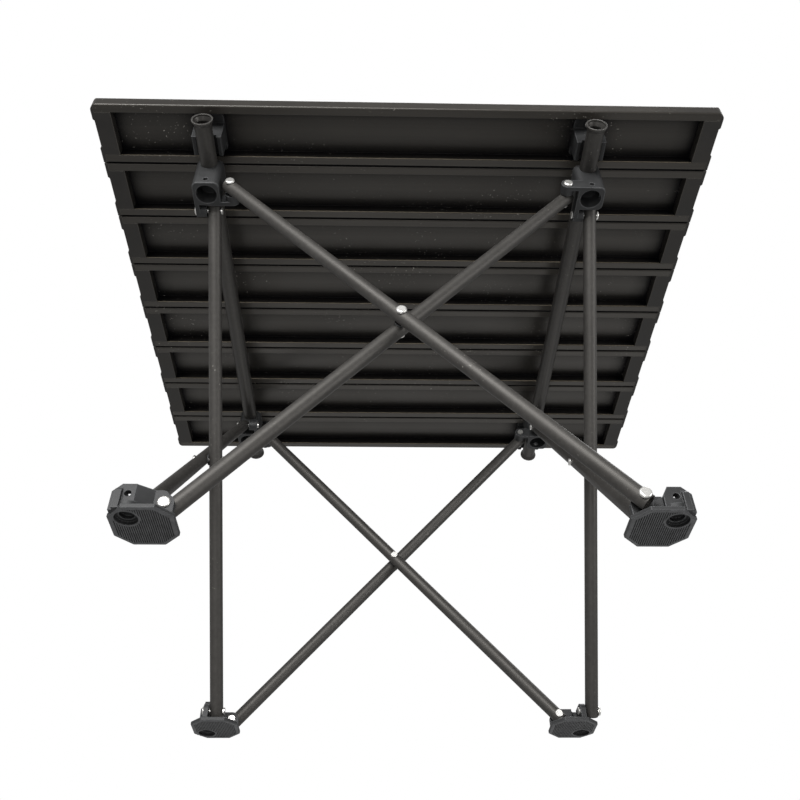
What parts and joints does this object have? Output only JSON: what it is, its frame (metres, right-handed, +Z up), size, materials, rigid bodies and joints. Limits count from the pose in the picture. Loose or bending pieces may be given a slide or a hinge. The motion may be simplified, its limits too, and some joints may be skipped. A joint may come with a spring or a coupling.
{
  "type": "folding table",
  "caption": "Low folding camping table: a roll-up slatted aluminium top clips onto rails carried by a collapsible frame of crossed tube legs with moulded hubs and feet.",
  "frame": {"origin": "on the ground, under the middle of the table's bounding box", "axes": "+X along the slats (the table's length), +Y across them towards the rear rail ends, +Z up"},
  "size_m": [0.408, 0.343, 0.2965],
  "materials": {
    "slat_metal": "black anodised, satin",
    "tube_metal": "black anodised, satin",
    "black_plastic": "matte, moulded",
    "rivet_metal": "satin, bright",
    "screw_metal": "zinc plated",
    "elastic": "braided cover"
  },
  "bodies": {
    "foot_front_left": {"foot_front_left": "black_plastic", "rivets_foot_front_left": "rivet_metal"},
    "hub_front_left": {"hub_front_left": "black_plastic", "rivets_hub_front_left": "rivet_metal"},
    "foot_front_right": {"foot_front_right": "black_plastic", "rivets_foot_front_right": "rivet_metal"},
    "hub_front_right": {"hub_front_right": "black_plastic", "rivets_hub_front_right": "rivet_metal"},
    "foot_rear_right": {"foot_rear_right": "black_plastic", "rivets_foot_rear_right": "rivet_metal"},
    "hub_rear_right": {"hub_rear_right": "black_plastic", "rivets_hub_rear_right": "rivet_metal", "rail_right": "tube_metal", "rail_screw_right": "screw_metal"},
    "foot_rear_left": {"foot_rear_left": "black_plastic", "rivets_foot_rear_left": "rivet_metal"},
    "hub_rear_left": {"hub_rear_left": "black_plastic", "rivets_hub_rear_left": "rivet_metal", "rail_left": "tube_metal", "rail_screw_left": "screw_metal"},
    "leg_front_outer": {"leg_front_outer": "tube_metal"},
    "leg_front_inner": {"leg_front_inner": "tube_metal", "crossing_rivet_front": "rivet_metal", "crossing_washer_front": "black_plastic"},
    "leg_right_outer": {"leg_right_outer": "tube_metal"},
    "leg_right_inner": {"leg_right_inner": "tube_metal", "crossing_rivet_right": "rivet_metal", "crossing_washer_right": "black_plastic"},
    "leg_rear_outer": {"leg_rear_outer": "tube_metal"},
    "leg_rear_inner": {"leg_rear_inner": "tube_metal", "crossing_rivet_rear": "rivet_metal", "crossing_washer_rear": "black_plastic"},
    "leg_left_outer": {"leg_left_outer": "tube_metal"},
    "leg_left_inner": {"leg_left_inner": "tube_metal", "crossing_rivet_left": "rivet_metal", "crossing_washer_left": "black_plastic"},
    "slat_1": {"slat_1": "slat_metal", "end_caps_1": "black_plastic", "rail_clips_front": "black_plastic", "clip_rivets_front": "rivet_metal"},
    "slat_2": {"slat_2": "slat_metal", "end_caps_2": "black_plastic"},
    "slat_3": {"slat_3": "slat_metal", "end_caps_3": "black_plastic"},
    "slat_4": {"slat_4": "slat_metal", "end_caps_4": "black_plastic", "elastic_cord_left": "elastic", "elastic_cord_right": "elastic"},
    "slat_5": {"slat_5": "slat_metal", "end_caps_5": "black_plastic"},
    "slat_6": {"slat_6": "slat_metal", "end_caps_6": "black_plastic"},
    "slat_7": {"slat_7": "slat_metal", "end_caps_7": "black_plastic"},
    "slat_8": {"slat_8": "slat_metal", "end_caps_8": "black_plastic", "rail_clips_rear": "black_plastic", "clip_rivets_rear": "rivet_metal"}
  },
  "joints": [
    {"name": "fold", "type": "hinge", "parent": "foot_front_left", "child": "leg_front_inner", "pos_m": [-0.1145, -0.131, 0.0085], "axis": [0, -1, 0], "range_deg": [0, 39]},
    {"name": "front_right_hub_turn", "type": "hinge", "parent": "leg_front_inner", "child": "hub_front_right", "pos_m": [0.1025, -0.131, 0.2542], "axis": [0, -1, 0], "range_deg": [-39, 0]},
    {"name": "right_outer_turn", "type": "hinge", "parent": "hub_front_right", "child": "leg_right_outer", "pos_m": [0.118, -0.1155, 0.2542], "axis": [1, 0, 0], "range_deg": [-39, 0]},
    {"name": "rear_right_foot_turn", "type": "hinge", "parent": "leg_right_outer", "child": "foot_rear_right", "pos_m": [0.118, 0.1015, 0.0085], "axis": [1, 0, 0], "range_deg": [0, 39]},
    {"name": "right_crossing", "type": "hinge", "parent": "leg_right_outer", "child": "leg_right_inner", "pos_m": [0.118, -0.007, 0.13135], "axis": [1, 0, 0], "range_deg": [0, 78]},
    {"name": "rear_right_hub_turn", "type": "hinge", "parent": "leg_right_inner", "child": "hub_rear_right", "pos_m": [0.118, 0.1015, 0.2542], "axis": [1, 0, 0], "range_deg": [-39, 0]},
    {"name": "front_crossing", "type": "hinge", "parent": "leg_front_inner", "child": "leg_front_outer", "pos_m": [-0.006, -0.131, 0.13135], "axis": [0, -1, 0], "range_deg": [-78, 0]},
    {"name": "front_right_foot_turn", "type": "hinge", "parent": "leg_front_outer", "child": "foot_front_right", "pos_m": [0.1025, -0.131, 0.0085], "axis": [0, -1, 0], "range_deg": [0, 39]},
    {"name": "front_left_hub_turn", "type": "hinge", "parent": "leg_front_outer", "child": "hub_front_left", "pos_m": [-0.1145, -0.131, 0.2542], "axis": [0, -1, 0], "range_deg": [0, 39]},
    {"name": "left_outer_turn", "type": "hinge", "parent": "foot_front_left", "child": "leg_left_outer", "pos_m": [-0.13, -0.1155, 0.0085], "axis": [-1, 0, 0], "range_deg": [-39, 0]},
    {"name": "rear_left_hub_turn", "type": "hinge", "parent": "leg_left_outer", "child": "hub_rear_left", "pos_m": [-0.13, 0.1015, 0.2542], "axis": [-1, 0, 0], "range_deg": [0, 39]},
    {"name": "left_crossing", "type": "hinge", "parent": "leg_left_outer", "child": "leg_left_inner", "pos_m": [-0.13, -0.007, 0.13135], "axis": [-1, 0, 0], "range_deg": [0, 78]},
    {"name": "rear_left_foot_turn", "type": "hinge", "parent": "leg_left_inner", "child": "foot_rear_left", "pos_m": [-0.13, 0.1015, 0.0085], "axis": [-1, 0, 0], "range_deg": [-39, 0]},
    {"name": "rear_inner_turn", "type": "hinge", "parent": "hub_rear_left", "child": "leg_rear_inner", "pos_m": [-0.1145, 0.117, 0.2542], "axis": [0, 1, 0], "range_deg": [0, 39]},
    {"name": "rear_crossing", "type": "hinge", "parent": "leg_rear_inner", "child": "leg_rear_outer", "pos_m": [-0.006, 0.117, 0.13135], "axis": [0, 1, 0], "range_deg": [-78, 0]},
    {"name": "tabletop_lift", "type": "slide", "parent": "hub_front_left", "child": "slat_4", "axis": [0, 0, 1], "range_m": [0, 0.156]},
    {"name": "roll", "type": "hinge", "parent": "slat_4", "child": "slat_5", "pos_m": [0, 0, 0.2965], "axis": [1, 0, 0], "range_deg": [0, 44], "deforming": ["elastic_cord_left", "elastic_cord_right"]},
    {"name": "roll_slat_6", "type": "hinge", "parent": "slat_5", "child": "slat_6", "pos_m": [0, 0.043, 0.2965], "axis": [1, 0, 0], "range_deg": [0, 44]},
    {"name": "roll_slat_7", "type": "hinge", "parent": "slat_6", "child": "slat_7", "pos_m": [0, 0.086, 0.2965], "axis": [1, 0, 0], "range_deg": [0, 44]},
    {"name": "roll_slat_8", "type": "hinge", "parent": "slat_7", "child": "slat_8", "pos_m": [0, 0.129, 0.2965], "axis": [1, 0, 0], "range_deg": [0, 44]},
    {"name": "roll_slat_3", "type": "hinge", "parent": "slat_4", "child": "slat_3", "pos_m": [0, -0.043, 0.2965], "axis": [-1, 0, 0], "range_deg": [0, 44]},
    {"name": "roll_slat_2", "type": "hinge", "parent": "slat_3", "child": "slat_2", "pos_m": [0, -0.086, 0.2965], "axis": [-1, 0, 0], "range_deg": [0, 44]},
    {"name": "roll_slat_1", "type": "hinge", "parent": "slat_2", "child": "slat_1", "pos_m": [0, -0.129, 0.2965], "axis": [-1, 0, 0], "range_deg": [0, 44]}
  ],
  "couplings": [
    {"joint": "front_right_hub_turn", "follows": "fold", "ratio": -1},
    {"joint": "right_outer_turn", "follows": "fold", "ratio": -1},
    {"joint": "rear_right_foot_turn", "follows": "fold", "ratio": 1},
    {"joint": "right_crossing", "follows": "fold", "ratio": 2},
    {"joint": "rear_right_hub_turn", "follows": "fold", "ratio": -1},
    {"joint": "front_crossing", "follows": "fold", "ratio": -2},
    {"joint": "front_right_foot_turn", "follows": "fold", "ratio": 1},
    {"joint": "front_left_hub_turn", "follows": "fold", "ratio": 1},
    {"joint": "left_outer_turn", "follows": "fold", "ratio": -1},
    {"joint": "rear_left_hub_turn", "follows": "fold", "ratio": 1},
    {"joint": "left_crossing", "follows": "fold", "ratio": 2},
    {"joint": "rear_left_foot_turn", "follows": "fold", "ratio": -1},
    {"joint": "rear_inner_turn", "follows": "fold", "ratio": 1},
    {"joint": "rear_crossing", "follows": "fold", "ratio": -2},
    {"joint": "tabletop_lift", "follows": "fold", "m_per_rad": 0.22918},
    {"joint": "roll_slat_6", "follows": "roll", "ratio": 1},
    {"joint": "roll_slat_7", "follows": "roll", "ratio": 1},
    {"joint": "roll_slat_8", "follows": "roll", "ratio": 1},
    {"joint": "roll_slat_3", "follows": "roll", "ratio": 1},
    {"joint": "roll_slat_2", "follows": "roll", "ratio": 1},
    {"joint": "roll_slat_1", "follows": "roll", "ratio": 1}
  ]
}
